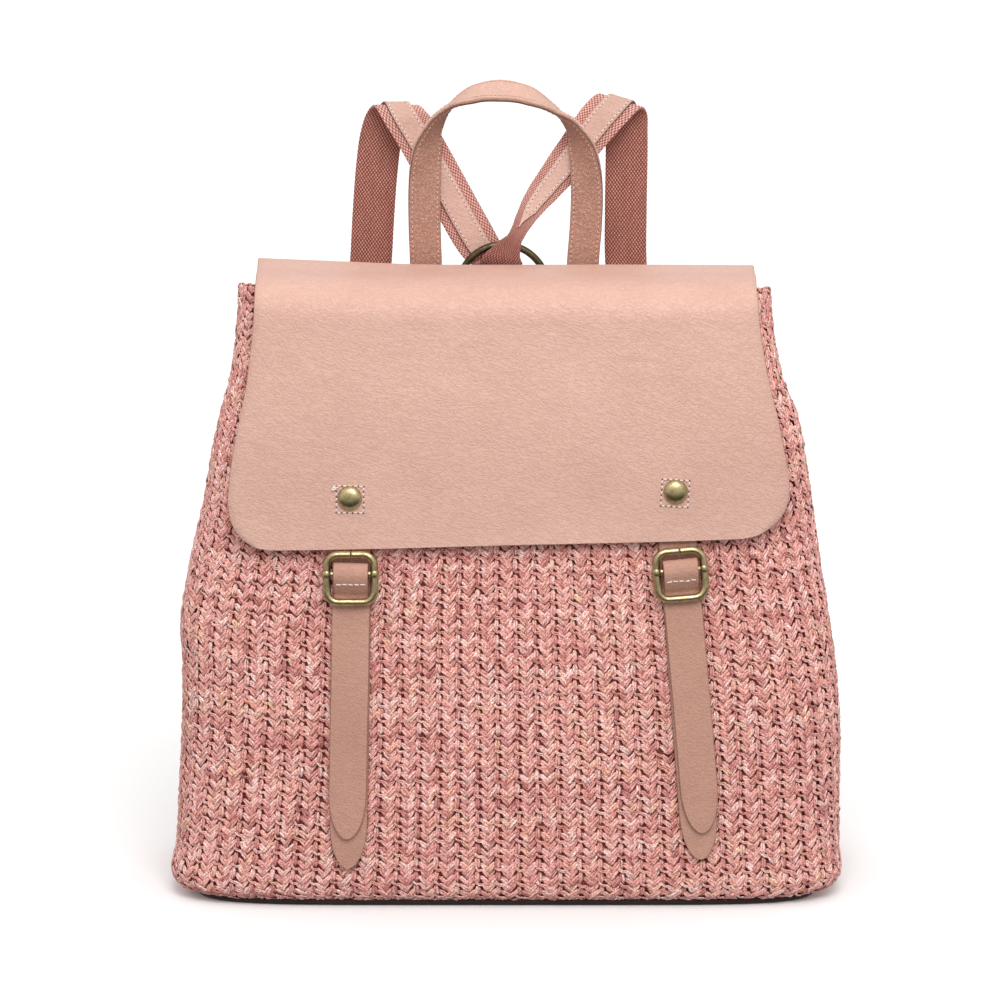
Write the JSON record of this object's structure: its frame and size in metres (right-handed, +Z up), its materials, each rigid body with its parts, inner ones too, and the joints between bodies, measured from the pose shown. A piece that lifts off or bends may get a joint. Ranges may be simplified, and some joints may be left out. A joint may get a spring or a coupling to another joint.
{
  "type": "woven backpack",
  "caption": "Soft open-topped straw-knit backpack with a leather flap, buckled front straps, a carrying handle and a webbing shoulder strap threaded through a ring.",
  "frame": {"origin": "on the floor, at the middle of the flat base", "axes": "+Z up, front of the bag with its buckles towards -Y, the wearer's back and the shoulder strap towards +Y, +X to the right as seen from the front"},
  "size_m": [0.313, 0.1445, 0.37],
  "materials": {
    "straw": "knitted straw strands in mixed pinks",
    "flap_leather": "smooth leatherette with a fine pebbled grain",
    "strap_leather": "matt leatherette",
    "handle_leather": "leatherette with edge stitching",
    "webbing": "ribbed woven webbing",
    "base_leather": "matt leatherette",
    "brass": "antique brass",
    "bronze": "dark bronze"
  },
  "bodies": {
    "root": {"woven_body": "straw", "base_panel": "base_leather", "flap": "flap_leather", "strap_back_left": "strap_leather", "strap_front_left": "strap_leather", "buckle_left": "brass", "rivet_left": "brass", "strap_back_right": "strap_leather", "strap_front_right": "strap_leather", "buckle_right": "brass", "rivet_right": "brass", "handle": "handle_leather", "ring": "bronze", "ring_tab": "strap_leather", "strap_left": "webbing", "strap_right": "webbing", "strap_leather_left": "handle_leather", "strap_leather_right": "handle_leather"}
  },
  "joints": []
}
